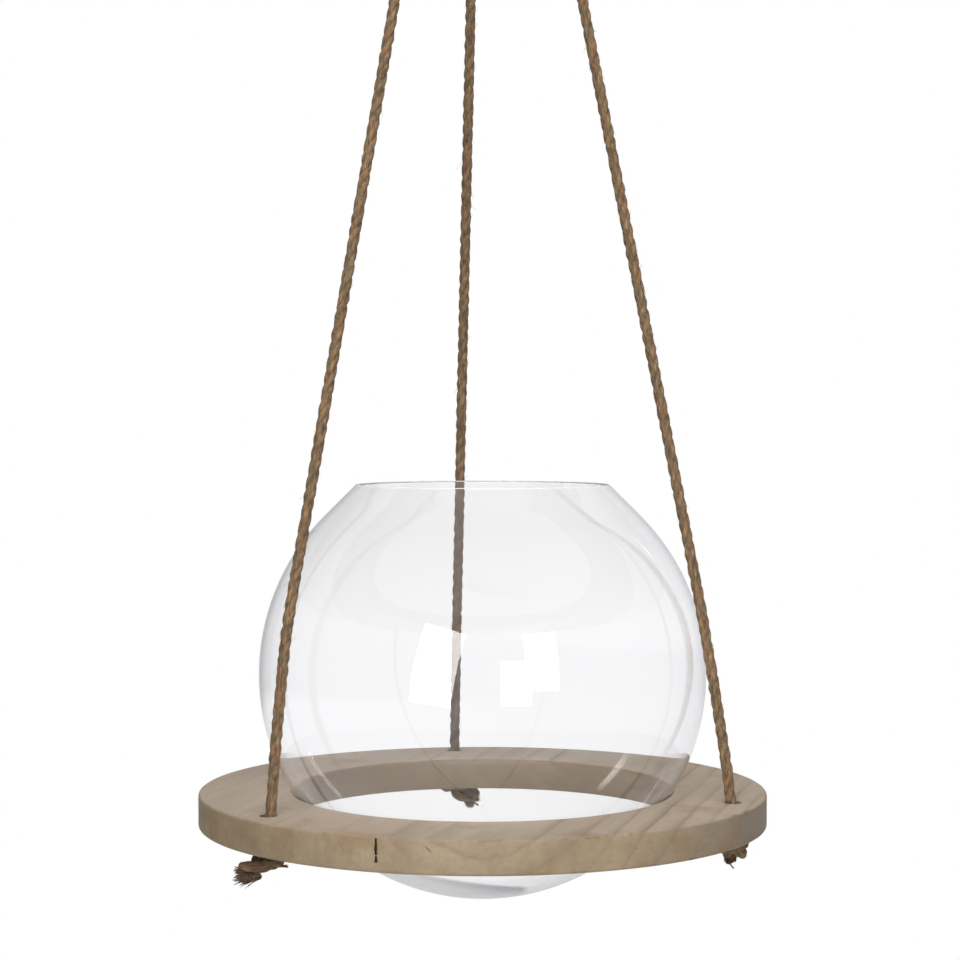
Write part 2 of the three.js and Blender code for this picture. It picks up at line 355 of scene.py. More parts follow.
# %% [markdown]
# ## The loop and its binding
# Above the picture the three ropes need something to hang by. The usual way is a short loop of the
# same rope whose two ends lie between the ropes, with a few tight turns of rope round all five.
# The loop goes over a hook. The turns are a helix, so their line is worked out, not drawn.

# %% The loop
LOOP_ROUTE = ((4.6, .9), (8.1, 4), (10.1, 8.5), (10.4, 13.5), (9.3, 19.5), (7.1, 25.5),
              (4.9, 30.5), (3.3, 34.5))
LOOP_CROWN = 2.5 * MM
LEG_OFFSET = 2.65 * MM
LEG_HEIGHT = -36 * MM
LEG_BUNDLE_AZIMUTHS = (24, 168)
LEG_ENTRY = 6 * MM
LEG_EXIT = 9 * MM
LOOP_STEP = 0.7 * MM


def loop_leg(side, bundle_azimuth):
    bundled = outward(bundle_azimuth) * BUNDLE_CIRCLE
    leg = [Vector((side * wide * MM, 0, LOOP_CROWN - drop * MM)) for wide, drop in LOOP_ROUTE]
    leg.append(Vector((side * LEG_OFFSET, 0, LEG_HEIGHT)))
    for height in (BUNDLE_TOP - LEG_ENTRY, BUNDLE_BOTTOM + LEG_EXIT, BUNDLE_BOTTOM + END_INSET):
        leg.append(bundled + upright(height))
    return leg


right_leg = loop_leg(1, LEG_BUNDLE_AZIMUTHS[0])
left_leg = loop_leg(-1, LEG_BUNDLE_AZIMUTHS[1])
loop_line = smooth_line(right_leg[::-1] + [upright(LOOP_CROWN)] + left_leg, LOOP_STEP)
loop_girth = [TIGHT if place.z < LEG_HEIGHT else 1 for place in loop_line]
for _ in range(6):
    nearby = [loop_girth[max(0, at - 3):at + 4] for at in range(len(loop_girth))]
    loop_girth = [sum(sizes) / len(sizes) for sizes in nearby]
loop = lay_rope("loop_rope", loop_line, loop_girth, 21)
print("loop takes", round(length_of(loop_line) / MM), "mm of rope")

# %% The binding
WRAP_RADIUS = 7.7 * MM
WRAP_TURNS = 4
WRAP_GIRTH = 0.9
WRAP_END = 4 * MM
STATIONS_PER_TURN = 24
wrap_start = BUNDLE_BOTTOM + 3 * MM
wrap_stations = []
for number in range(WRAP_TURNS * STATIONS_PER_TURN + 1):
    place = outward(360 * number / STATIONS_PER_TURN) * WRAP_RADIUS
    wrap_stations.append(place + upright(wrap_start + STRAND_PITCH * number / STATIONS_PER_TURN))
wrap_stations.insert(0, wrap_stations[0] - Vector((0, WRAP_END, 0)))
wrap_stations.append(wrap_stations[-1] + Vector((0, WRAP_END, 0)))
wrap_line = smooth_line(wrap_stations, LOOP_STEP)
wrap = lay_rope("binding_coil", wrap_line, [WRAP_GIRTH] * len(wrap_line), 22)
print("binding takes", round(length_of(wrap_line) / MM), "mm of rope")

# %% [markdown]
# ## Frayed tails and stray fibres
# Jute is a coarse fibre. Where a rope is cut the strands open into tufts, and along its length
# single fibres stand off the surface. Both are thin curves with a round bevel, tapered to the tip,
# thrown from a seeded random generator so that every run gives the same hairs.


# %% Fibre tools
def bend_fibre(root, direction, drift, length):
    """Four places of a fibre that leaves along direction and drifts aside."""
    places = []
    for number in range(4):
        share = number / 3
        places.append(root + direction * length * share + drift * length * share * share)
    return places


def make_fibres(name, fibres, thickness):
    curve = bpy.data.curves.new(name + "_lines", "CURVE")
    curve.dimensions = "3D"
    curve.bevel_depth = thickness / 2
    curve.bevel_resolution = 0
    curve.use_fill_caps = True
    for places, start, finish in fibres:
        spline = curve.splines.new("POLY")
        spline.points.add(len(places) - 1)
        for number, place in enumerate(places):
            share = number / (len(places) - 1)
            spline.points[number].co = (*place, 1)
            spline.points[number].radius = start + (finish - start) * share
    piece = mesh_from_curve(curve, name)
    own = piece.data.attributes.new("rope_place", "FLOAT_VECTOR", "POINT")
    for vertex, kept in zip(piece.data.vertices, own.data):
        kept.vector = vertex.co
    return piece


def any_direction(chance):
    return Vector((chance.gauss(0, 1), chance.gauss(0, 1), chance.gauss(0, 1))).normalized()


# %% Stray fibres along the ropes
STRAY_FIBRES = 240
STRAY_RADIUS = 2.1 * MM
STRAY_THICKNESS = 0.14 * MM


def stray_fibres(name, line, seed):
    chance = random.Random(seed)
    frames = travel_frames(line)
    fibres = []
    for _ in range(STRAY_FIBRES):
        at = chance.randrange(4, len(line) - 4)
        ahead, side, square = frames[at]
        around = chance.uniform(0, math.tau)
        out = side * math.cos(around) + square * math.sin(around)
        root = line[at] + out * STRAY_RADIUS
        lean = chance.choice((-1, 1)) * ahead + out * chance.uniform(0.12, 0.7)
        drift = out * chance.uniform(-0.3, 0.25) + any_direction(chance) * 0.3
        length = chance.uniform(1, 2.2) * chance.uniform(0.8, 2) * MM
        fibres.append((bend_fibre(root, lean.normalized(), drift, length), 1, 0.5))
    return make_fibres(name, fibres, STRAY_THICKNESS)


fibre_pieces = {}
for number, which in enumerate(HOLE_AZIMUTHS):
    line = [place for place in rope_lines[which] if ring_top < place.z < BUNDLE_BOTTOM]
    fibre_pieces[which] = stray_fibres(which + "_fibres", line, number + 31)
    print(fibre_pieces[which].name, len(fibre_pieces[which].data.polygons), "faces")

# %% Frayed tails
TUFT_FIBRES = 150
LOOSE_FIBRES = 14
TUFT_THICKNESS = 0.32 * MM


def frayed_tail(name, line, lift, spread, length, loose, seed):
    """Three opened strands, each a stout core in a blunt tuft of fibres, and one loose strand."""
    chance = random.Random(seed)
    ahead, side, square = travel_frames(line)[-1]
    ahead = (ahead + upright(lift)).normalized()
    fibres = []
    for strand in range(3):
        around = math.tau * strand / 3 + chance.uniform(-0.3, 0.3)
        out = side * math.cos(around) + square * math.sin(around)
        strand_root = line[-1] - ahead * 3 * MM + out * 1.2 * MM + upright(1.2 * MM)
        strand_aim = (ahead + out * spread * chance.uniform(0.85, 1.15)).normalized()
        strand_reach = 3 * MM + length * chance.uniform(0.82, 1)
        core = bend_fibre(strand_root, strand_aim, out * -0.05, strand_reach * 0.92)
        fibres.append((core, 8.5, 9))
        for _ in range(TUFT_FIBRES):
            off = any_direction(chance) * 1.45 * MM * math.sqrt(chance.random())
            aim = (strand_aim + any_direction(chance) * 0.1).normalized()
            drift = any_direction(chance) * 0.2
            reach = strand_reach * chance.uniform(0.84, 0.98)
            fibres.append((bend_fibre(strand_root + off, aim, drift, reach), 1, 0.5))
    root, aim, reach = loose
    for _ in range(LOOSE_FIBRES):
        off = any_direction(chance) * 0.3 * MM
        bent = bend_fibre(line[-1] + Vector(root) * MM + off, Vector(aim).normalized(),
                          any_direction(chance) * 0.1, reach * chance.uniform(0.8, 1))
        fibres.append((bent, 1.3, 0.6))
    return make_fibres(name, fibres, TUFT_THICKNESS)


# %% Fray the three ends
LIFT_SPREAD_LENGTH = {"left": (0.66, 0.4, 6 * MM), "right": (0.9, 0.2, 0.8 * MM),
                      "back": (-0.2, 0.35, 3 * MM)}
LOOSE_STRANDS = {"left": ((10.5, -3, 5.5), (1, 0, 0.05), 6 * MM),
                 "right": ((-1, -3, -0.5), (0.6, -0.2, -0.8), 3.6 * MM),
                 "back": ((1, 0, 0), (0.9, 0, -0.5), 3.6 * MM)}
tail_pieces = {}
for number, which in enumerate(HOLE_AZIMUTHS):
    tail_pieces[which] = frayed_tail(which + "_tail", knot_lines[which], *LIFT_SPREAD_LENGTH[which],
                                     LOOSE_STRANDS[which], number + 51)
    print(tail_pieces[which].name, len(tail_pieces[which].data.polygons), "faces")

# %% [markdown]
# ## What moves with what
# A hung rope bends where it leaves its binding. Knots, tails and fibres stay with the board, and the
# turns of the binding go with the binding. The CAD model's own ropes, knots, loop and binding are
# hidden.

# %% What rides with the board and the binding
bpy.data.objects.remove(rope_outline)
for which, azimuth in HOLE_AZIMUTHS.items():
    rope = rope_pieces[which]
    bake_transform(rope)
    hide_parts("rope_" + which)
    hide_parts("stopper_knot_" + which)
    parts = [knot_pieces[which], tail_pieces[which], fibre_pieces[which]]
    for piece in parts:
        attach(piece, "hanger")
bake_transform(loop)
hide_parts("hanging_loop")
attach(wrap, "wrap")
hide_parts("top_wrap", "gripped_ends")
print("cords declared:", len(rope_pieces) + 1)

# %% [markdown]
# ## The board
# The ring is one flat board sawn round, with a big hole for the globe and three drilled holes for
# the ropes. Four corners spun round the axis make it, and a bevel eases the four round edges as
# sandpaper does. The drilled holes and two short drying cracks in the front edge, one above the
# other, are cut with Boolean.

# %% Spin the board
RING_STEPS = 256
RING_OUTER = 125 * MM
RING_INNER = 84 * MM
EASED_EDGE = 1.2 * MM
board_mesh = bmesh.new()
corners = [board_mesh.verts.new((radius, 0, height)) for radius, height in (
    (RING_INNER, ring_bottom), (RING_OUTER, ring_bottom),
    (RING_OUTER, ring_top), (RING_INNER, ring_top))]
sides = [board_mesh.edges.new((a, b)) for a, b in zip(corners, corners[1:] + corners[:1])]
bmesh.ops.spin(board_mesh, geom=corners + sides, axis=(0, 0, 1), cent=(0, 0, 0),
               angle=math.tau, steps=RING_STEPS, use_merge=True)
bmesh.ops.recalc_face_normals(board_mesh, faces=board_mesh.faces)
round_edges = [edge for edge in board_mesh.edges
               if abs(edge.verts[0].co.z - edge.verts[1].co.z) < 1e-7
               and abs(edge.verts[0].co.xy.length - edge.verts[1].co.xy.length) < 1e-6]
bmesh.ops.bevel(board_mesh, geom=round_edges, offset=EASED_EDGE, segments=4, profile=0.5,
                affect="EDGES", material=-1)
print("board:", len(board_mesh.faces), "faces before cutting")


# %% Shape tools
def mesh_object(shape, name):
    mesh = bpy.data.meshes.new(name)
    shape.to_mesh(mesh)
    shape.free()
    return put_in_scene(name, mesh)


def cut_away(piece, cutter):
    """Takes the cutter's shape out of the piece, and removes the cutter."""
    saw = piece.modifiers.new("saw", "BOOLEAN")
    saw.operation = "DIFFERENCE"
    saw.solver = "EXACT"
    saw.object = cutter
    cut = mesh_as_seen(piece)
    piece.modifiers.clear()
    old = piece.data
    piece.data = cut
    bpy.data.meshes.remove(old)
    bpy.data.objects.remove(cutter)


# %% Drill the holes
HOLE_RADIUS = 3.8 * MM
DRILL_LENGTH = 30 * MM
board = mesh_object(board_mesh, "ring_board")
drills = bmesh.new()
for azimuth in HOLE_AZIMUTHS.values():
    place = outward(azimuth) * HOLE_CIRCLE + upright((ring_top + ring_bottom) / 2)
    bmesh.ops.create_cone(drills, cap_ends=True, segments=40, radius1=HOLE_RADIUS,
                          radius2=HOLE_RADIUS, depth=DRILL_LENGTH, matrix=Matrix.Translation(place))
cut_away(board, mesh_object(drills, "drills"))
print("board:", len(board.data.polygons), "faces after drilling")

# %% Open the cracks
CRACK_AZIMUTH = -109.6
CRACK_DEPTH = 1.6 * MM
chance = random.Random(8)


def crack_cutter(name, top, bottom, wide_top, wide_bottom, levels):
    """A ragged wedge that stands in the front edge between two depths below the board's top."""
    crack = bmesh.new()
    bmesh.ops.create_cube(crack, size=1)
    tall = [edge for edge in crack.edges if abs(edge.verts[0].co.z - edge.verts[1].co.z) > 0.5]
    bmesh.ops.subdivide_edges(crack, edges=tall, cuts=levels)
    for height in sorted({round(vert.co.z, 4) for vert in crack.verts}):
        level = [vert for vert in crack.verts if abs(vert.co.z - height) < 0.001]
        wide = (wide_top + (wide_bottom - wide_top) * (0.5 - height)) * chance.uniform(0.75, 1.2)
        shift = chance.uniform(-0.13, 0.13) * MM
        for vert in level:
            vert.co.x = vert.co.x * wide + shift
    bmesh.ops.scale(crack, verts=crack.verts, vec=(1, 2 * CRACK_DEPTH, top - bottom))
    place = outward(CRACK_AZIMUTH) * RING_OUTER + upright(ring_top + (top + bottom) / 2)
    turn = Matrix.Rotation(math.radians(CRACK_AZIMUTH + 90), 4, "Z")
    bmesh.ops.transform(crack, matrix=Matrix.Translation(place) @ turn, verts=crack.verts)
    return mesh_object(crack, name)


cut_away(board, crack_cutter("long_crack", -0.8 * MM, -7.4 * MM, 1.1 * MM, 1.45 * MM, 8))
cut_away(board, crack_cutter("short_crack", -7.8 * MM, -10.4 * MM, 1 * MM, 1.7 * MM, 2))
board.data.shade_smooth()
board.data.set_sharp_from_angle(angle=math.radians(35))
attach(board, "hanger")
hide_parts("wooden_ring")
print("board:", len(board.data.polygons), "faces after cutting")

# %% [markdown]
# ## The globe
# The globe is blown: one thin even skin of glass, thinnest at the very bottom, with the mouth cut
# and ground round. Half of its section is drawn by spinning one point through an arc. The inside is
# a copy of that line, drawn in by the wall, and the closed section is spun. The two slopes up to
# the lip are cut into short steps, so that smooth shading stays true on them.

# %% Draw the section
GLOBE_RADIUS = 98.5 * MM
GLOBE_CENTRE = -570.846 * MM
SHOULDER = 45
LIP_RADIUS = 55.75 * MM
LIP_HEIGHT = GLOBE_CENTRE + 83.05 * MM
GLOBE_STEPS = 160
ARC_STEPS = 108
LIP_STEPS = 10
SLOPE_CUTS = 20
RIM_WALL = 0.7 * MM
SKIN = 0.9 * MM


def wall_at(place):
    """Thickness of the skin: even and thin, and blown thinnest at the bottom."""
    height = (place.z - GLOBE_CENTRE) / GLOBE_RADIUS
    return SKIN * (1 - 0.5 * max(0, -height - 0.8) / 0.2)


globe_low, globe_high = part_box("glass_globe")
print("globe width in mm, CAD and here:", round((globe_high.x - globe_low.x) / MM, 1),
      round(2 * GLOBE_RADIUS / MM, 1))
globe_mesh = bmesh.new()
lowest = globe_mesh.verts.new((0, 0, GLOBE_CENTRE - GLOBE_RADIUS))
bmesh.ops.spin(globe_mesh, geom=[lowest], axis=(0, -1, 0), cent=(0, 0, GLOBE_CENTRE),
               angle=math.radians(90 + SHOULDER), steps=ARC_STEPS)
outside = sorted(globe_mesh.verts, key=lambda vert: vert.co.z)
copied = bmesh.ops.duplicate(globe_mesh, geom=globe_mesh.verts[:] + globe_mesh.edges[:])
inside = sorted((item for item in copied["geom"] if isinstance(item, bmesh.types.BMVert)),
                key=lambda vert: vert.co.z)
for vert in inside:
    outwards = (vert.co - upright(GLOBE_CENTRE)).normalized()
    vert.co -= outwards * wall_at(vert.co)
print("section points outside and inside:", len(outside), len(inside))

# %% Close the lip and spin the globe
lip_centre = Vector((LIP_RADIUS, 0, LIP_HEIGHT))
to_outside = Vector((math.cos(math.radians(SHOULDER)), 0, math.sin(math.radians(SHOULDER))))
lip_start = globe_mesh.verts.new(lip_centre + to_outside * RIM_WALL / 2)
outer_slope = globe_mesh.edges.new((outside[-1], lip_start))
lip = bmesh.ops.spin(globe_mesh, geom=[lip_start], axis=(0, -1, 0), cent=lip_centre,
                     angle=math.pi, steps=LIP_STEPS)
lip_end = next(item for item in lip["geom_last"] if isinstance(item, bmesh.types.BMVert))
inner_slope = globe_mesh.edges.new((lip_end, inside[-1]))
bmesh.ops.subdivide_edges(globe_mesh, edges=[outer_slope, inner_slope], cuts=SLOPE_CUTS)
bmesh.ops.spin(globe_mesh, geom=globe_mesh.verts[:] + globe_mesh.edges[:], axis=(0, 0, 1),
               cent=(0, 0, 0), angle=math.tau, steps=GLOBE_STEPS, use_merge=True)
bmesh.ops.remove_doubles(globe_mesh, verts=globe_mesh.verts, dist=0.5e-6)
bmesh.ops.recalc_face_normals(globe_mesh, faces=globe_mesh.faces)
print("globe:", len(globe_mesh.faces), "faces, volume in ml:", round(globe_mesh.calc_volume() * 1e6, 1))
globe = mesh_object(globe_mesh, "blown_globe")
globe.data.shade_smooth()
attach(globe, "globe")
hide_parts("glass_globe")

# %% [markdown]
# ## Materials
# Each finish is a small tree of nodes. The helpers keep the trees readable: each adds one node,
# sets its entries or joins them to the outputs of other nodes, and hands back its own output. A
# colour picked from a picture is in display values, and the shader wants light values, so one more
# helper turns the one into the other.


# %% Colour helpers
def light_value(red, green, blue):
    shares = []
    for value in (red, green, blue):
        share = value / 255
        shares.append(share / 12.92 if share < 0.04045 else ((share + 0.055) / 1.055) ** 2.4)
    return (*shares, 1)


def grey(share):
    return (share, share, share, 1)


WHITE = grey(1)


# %% Node helpers
def new_finish(name):
    finish = bpy.data.materials.new(name)
    finish.use_nodes = True
    finish.node_tree.nodes.clear()
    return finish, finish.node_tree


def add(tree, kind, entries, **settings):
    """Adds a node. An entry gets a fixed value, or is joined to an output of another node."""
    made = tree.nodes.new(kind)
    for name, value in settings.items():
        setattr(made, name, value)
    for name, value in entries.items():
        if isinstance(value, bpy.types.NodeSocket):
            tree.links.new(value, made.inputs[name])
        else:
            made.inputs[name].default_value = value
    return made.outputs


# %% Helpers for places and numbers
def object_place(tree):
    return add(tree, "ShaderNodeTexCoord", {})["Object"]


def axes(tree, place):
    return add(tree, "ShaderNodeSeparateXYZ", {"Vector": place})


def maths(tree, operation, *values):
    return add(tree, "ShaderNodeMath", dict(enumerate(values)), operation=operation)["Value"]


def vector_maths(tree, operation, output, *values):
    return add(tree, "ShaderNodeVectorMath", dict(enumerate(values)), operation=operation)[output]


def distance(tree, place, shares):
    """The length of a place, with each axis counted by its share."""
    counted = vector_maths(tree, "MULTIPLY", "Vector", place, shares)
    return vector_maths(tree, "LENGTH", "Value", counted)


def remap(tree, value, start, end, low=0, high=1):
    """Carries the stretch from start to end over to the one from low to high, and stops there."""
    return add(tree, "ShaderNodeMapRange", {"Value": value, "From Min": start, "From Max": end,
                                            "To Min": low, "To Max": high})["Result"]


# %% Helpers for patterns
def stretched(tree, place, scale):
    return add(tree, "ShaderNodeMapping", {"Vector": place, "Scale": scale})["Vector"]


def placed(tree, place, middle, turn, size=(1, 1, 1)):
    """A place as seen from a middle, turned, with the size as its unit."""
    return add(tree, "ShaderNodeMapping", {"Vector": place, "Location": middle, "Rotation": turn,
                                           "Scale": size}, vector_type="TEXTURE")["Vector"]


def clouds(tree, place, scale, detail, roughness):
    return add(tree, "ShaderNodeTexNoise", {"Vector": place, "Scale": scale, "Detail": detail,
                                            "Roughness": roughness})["Fac"]


def ramp(tree, share, stops):
    made = tree.nodes.new("ShaderNodeValToRGB")
    tree.links.new(share, made.inputs["Fac"])
    band = made.color_ramp
    while len(band.elements) < len(stops):
        band.elements.new(0.5)
    for element, (place, colour) in zip(band.elements, stops):
        element.position = place
        element.color = colour
    return made.outputs["Color"]


def grey_ramp(tree, share, *stops):
    return ramp(tree, share, [(place, grey(tone)) for place, tone in stops])


# %% Helpers for mixing and dressing
def mix_colour(tree, first, second, share):
    return add(tree, "ShaderNodeMix", {0: share, 6: first, 7: second}, data_type="RGBA")[2]


def tone_down(tree, colour, tone):
    return add(tree, "ShaderNodeMix", {0: 1, 6: colour, 7: tone}, data_type="RGBA",
               blend_type="MULTIPLY")[2]


def mix_shaders(tree, share, first, second):
    return add(tree, "ShaderNodeMixShader", {0: share, 1: first, 2: second})["Shader"]


def dress(pieces, finish, **outputs):
    """Joins the outputs to the end of the finish's tree, and puts the finish on the pieces."""
    add(finish.node_tree, "ShaderNodeOutputMaterial", outputs)
    for piece in pieces:
        piece.data.materials.clear()
        piece.data.materials.append(finish)
    print(finish.name, "has", len(finish.node_tree.nodes), "nodes and is on", len(pieces), "pieces")


# %% [markdown]
# ## Jute
# Jute fibres are long, flat and dull, from pale straw to brown. The colour is noise stretched
# along the rope, read from the place each point has in the straight rope. Two wider noises give
# patches of tone, because no two handfuls of fibre are alike. The grooves between the strands get
# painted shade and the crests a slight painted highlight. The knots under the board get painted shade,
# and so does the stretch of the back rope behind the globe. The first noise also gives the bump.

# %% Fibres and patches of tone
jute, tree = new_finish("laid_jute")
rope_place = add(tree, "ShaderNodeAttribute", {}, attribute_name="rope_place")["Vector"]
fibre_noise = clouds(tree, stretched(tree, rope_place, (1, 1, 0.14)), 1150, 5, 0.72)
fibre_colour = ramp(tree, fibre_noise, (
    (0.33, light_value(92, 71, 51)), (0.45, light_value(128, 103, 78)),
    (0.57, light_value(148, 121, 93)), (0.7, light_value(184, 152, 112))))
patch_noise = clouds(tree, stretched(tree, rope_place, (1, 1, 0.45)), 560, 3, 0.6)
patch_tone = ramp(tree, patch_noise, (
    (0.34, (0.82, 0.85, 0.88, 1)), (0.46, (0.95, 0.98, 0.98, 1)),
    (0.55, (1.03, 1.01, 0.99, 1)), (0.67, (1.14, 1.09, 1.02, 1))))
stretch_noise = clouds(tree, rope_place, 240, 2, 0.55)
stretch_tone = ramp(tree, stretch_noise, (
    (0.34, (0.82, 0.9, 0.94, 1)), (0.43, (0.92, 0.98, 0.99, 1)), (0.5, (1, 1, 0.99, 1)),
    (0.57, (1.08, 1.05, 0.98, 1)), (0.66, (1.06, 0.95, 0.91, 1))))
print("jute nodes for fibres and patches:", len(tree.nodes))

# %% Painted shade: grooves, knots under the board and the back rope behind the globe
GROOVE_RADIUS = 1.8 * MM
RIDGE_RADIUS = 2.3 * MM
GLOBE_SHADE_TOP = -487 * MM
GLOBE_SHADE_TONE = 0.47
# Painted shade in the grooves between the strands, and a slight painted highlight on the crests.
painted_groove_shade = remap(tree, distance(tree, rope_place, (1, 1, 0)), GROOVE_RADIUS, RIDGE_RADIUS, 0.8, 1.04)
apart = axes(tree, object_place(tree))
# Painted shade on the knots and everything under the board.
painted_knot_shade = remap(tree, apart["Z"], ring_bottom - 1 * MM, ring_top, 0.66, 1)
# Painted shade on the back rope's stretch behind the globe, from the board up to the globe's lip; the
# other ropes keep their colour.
painted_globe_shade = grey_ramp(tree, remap(tree, apart["Z"], ring_bottom, GLOBE_SHADE_TOP),
                      (0.02, 1), (0.1, GLOBE_SHADE_TONE), (0.88, GLOBE_SHADE_TONE), (1, 1))
other_ropes = remap(tree, apart["Y"], 45 * MM, 30 * MM)
back_rope_globe_shade = maths(tree, "MAXIMUM", painted_globe_shade, other_ropes)
jute_colour = fibre_colour
for tone in (patch_tone, stretch_tone, painted_groove_shade, painted_knot_shade, back_rope_globe_shade):
    jute_colour = tone_down(tree, jute_colour, tone)
print("jute nodes with all tones:", len(tree.nodes))

# %% Dress the ropes
fibre_bump = add(tree, "ShaderNodeBump", {"Strength": 0.7, "Distance": 0.4 * MM,
                                          "Height": fibre_noise})["Normal"]
jute_shader = add(tree, "ShaderNodeBsdfPrincipled", {
    "Base Color": jute_colour, "Roughness": remap(tree, fibre_noise, 0, 1, 0.98, 0.7),
    "Normal": fibre_bump, "Specular IOR Level": 0.12, "Sheen Weight": 0.1, "Sheen Roughness": 0.5})
dress([loop, wrap, *rope_pieces.values(), *knot_pieces.values(), *tail_pieces.values(),
       *fibre_pieces.values()], jute, Surface=jute_shader["BSDF"])

# %% [markdown]
# ## Pale wood
# The board was sawn near the heart of a fast-grown tree. Its growth rings are rings round a line
# that runs three centimetres above the front edge and to the back right, so they show as arcs
# on the front edge and as straight slanting lines on top. One distance from that line gives both.
# A noise that is long along the grain lets the lines wander, fade and come back.

# %% Growth rings
PITH = Vector((-1.1 * MM, -125 * MM, ring_top + 30.3 * MM))
GRAIN_LEAN = 15.5
RING_SPACING = 9.7 * MM
wood, tree = new_finish("pale_wood")
place = add(tree, "ShaderNodeTexCoord", {})
from_pith = placed(tree, place["Object"], PITH, (0, 0, math.radians(-GRAIN_LEAN)))
long_grain = stretched(tree, from_pith, (1, 0.16, 1))
wander = remap(tree, clouds(tree, long_grain, 30, 4, 0.6), 0, 1, -4 * MM, 6 * MM)
wavy_distance = maths(tree, "ADD", distance(tree, from_pith, (1, 0, 1)), wander)
season = maths(tree, "FRACT", maths(tree, "DIVIDE", wavy_distance, RING_SPACING))
late_wood = grey_ramp(tree, season, (0, 0.3), (0.1, 0.05), (0.5, 0), (0.76, 0.3), (0.9, 0.7),
                      (0.95, 1), (1, 0.3))
print("growth rings", round(RING_SPACING / MM, 1), "mm apart")

# %% [markdown]
# ## How strong the lines are
# The left of the board is rubbed and grey, and its lines hardly show. To the right they come out.
# A ramp across the board and a blotchy noise set how much of each line is seen.

# %% Strength of the lines
apart = axes(tree, place["Object"])
worn_side = remap(tree, apart["X"], -70 * MM, 40 * MM, 0.18, 0.85)
blotches = grey_ramp(tree, clouds(tree, long_grain, 55, 3, 0.6), (0.32, 0.1), (0.62, 1))
strength = maths(tree, "MULTIPLY", worn_side, blotches)
line_share = maths(tree, "MULTIPLY", strength, late_wood)
print("wood nodes with the lines' strength:", len(tree.nodes))

# %% [markdown]
# ## The colour of the wood
# The face of the board is a pinkish grey. Where the fibres are cut across, on the front and back
# of the edge, the wood is yellower. Where they run along the edge, at the sides, the upright faces
# get painted shade. The share of end grain is how squarely the surface faces along the grain, so
# it needs only the normal. Tan stains lie over both, most of all on the edge, and the lines are
# fainter there.

# %% Face and end grain
tone_noise = clouds(tree, long_grain, 38, 5, 0.62)
face_tone = ramp(tree, tone_noise, (
    (0.3, light_value(161, 145, 128)), (0.5, light_value(170, 154, 136)),
    (0.7, light_value(177, 162, 143))))
end_tone = ramp(tree, tone_noise, (
    (0.3, light_value(155, 134, 107)), (0.5, light_value(171, 151, 122)),
    (0.7, light_value(182, 162, 134))))
along_grain = vector_maths(tree, "DOT_PRODUCT", "Value", place["Normal"], outward(90 - GRAIN_LEAN))
end_grain = grey_ramp(tree, maths(tree, "ABSOLUTE", along_grain), (0.3, 0), (0.7, 1))
flatness = maths(tree, "ABSOLUTE", axes(tree, place["Normal"])["Z"])
# Painted shade on the upright faces where the grain runs along them.
painted_side_shade_share = grey_ramp(tree, flatness, (0.3, 0.62), (0.75, 0))
side_shaded = mix_colour(tree, face_tone, light_value(126, 112, 96), painted_side_shade_share)
bare = mix_colour(tree, side_shaded, end_tone, end_grain)
print("wood nodes with bare colours:", len(tree.nodes))

# %% Stains, lines and painted shade on the wall of the hole
on_rim = grey_ramp(tree, flatness, (0.3, 1), (0.75, 0))
stain_noise = clouds(tree, place["Object"], 46, 3, 0.55)
stain_share = grey_ramp(tree, stain_noise, (0.56, 0), (0.74, 0.6))
stained = mix_colour(tree, bare, light_value(152, 124, 92), stain_share)
rim_stain = grey_ramp(tree, stain_noise, (0.5, 0), (0.66, 0.5))
tan_share = maths(tree, "MULTIPLY", rim_stain, on_rim)
tanned = mix_colour(tree, stained, light_value(160, 134, 100), tan_share)
across_board = remap(tree, apart["X"], -RING_OUTER, RING_OUTER)
seen_on_rim = grey_ramp(tree, across_board, (0.2, 0.8), (0.5, 0.95), (0.68, 0.5), (1, 0.35))
rim_or_face = mix_colour(tree, WHITE, seen_on_rim, on_rim)
shown_line = maths(tree, "MULTIPLY", line_share, rim_or_face)
lined = mix_colour(tree, tanned, light_value(130, 111, 92), shown_line)
from_middle = distance(tree, place["Object"], (1, 1, 0))
# Painted shade on the wall of the globe's hole.
painted_hole_shade = remap(tree, from_middle, RING_INNER + 0.3 * MM, RING_INNER + 1 * MM, 0.66, 0)
hole_shaded = mix_colour(tree, lined, light_value(104, 90, 74), painted_hole_shade)
print("wood nodes with stains and lines:", len(tree.nodes))

# %% [markdown]
# ## Pores, nicks, bark and painted shade in the cracks
# Fine streaks run with the grain, and small dark pores sit between them. The eased edges are nicked
# here and there. A speck of bark has grown into the front edge: a ragged patch round one place. The
# walls of the cracks get painted shade: the wood darkens inside a box that both cracks fit in.

# %% Streaks, pores and nicks
streak_noise = clouds(tree, stretched(tree, from_pith, (1, 0.07, 1)), 420, 4, 0.7)
streak_tone = grey_ramp(tree, streak_noise, (0.3, 0.9), (0.5, 1), (0.72, 1.05))
streaked = tone_down(tree, hole_shaded, streak_tone)
pores = add(tree, "ShaderNodeTexVoronoi", {"Vector": stretched(tree, from_pith, (1, 0.35, 1)),
                                           "Scale": 170, "Randomness": 1})
pore_share = grey_ramp(tree, pores["Distance"], (0.05, 0.55), (0.13, 0))
rare = grey_ramp(tree, pores["Color"], (0.8, 0), (0.84, 1))
rare_pores = maths(tree, "MULTIPLY", pore_share, rare)
dotted = mix_colour(tree, streaked, light_value(98, 80, 62), rare_pores)
eased_edge = grey_ramp(tree, flatness, (0.1, 0), (0.35, 1), (0.85, 1), (0.99, 0))
nick_noise = clouds(tree, place["Object"], 150, 4, 0.65)
nick_share = grey_ramp(tree, nick_noise, (0.56, 0), (0.7, 0.75))
nicks = maths(tree, "MULTIPLY", eased_edge, nick_share)
nicked = mix_colour(tree, dotted, light_value(104, 82, 58), nicks)
print("wood nodes with pores and nicks:", len(tree.nodes))

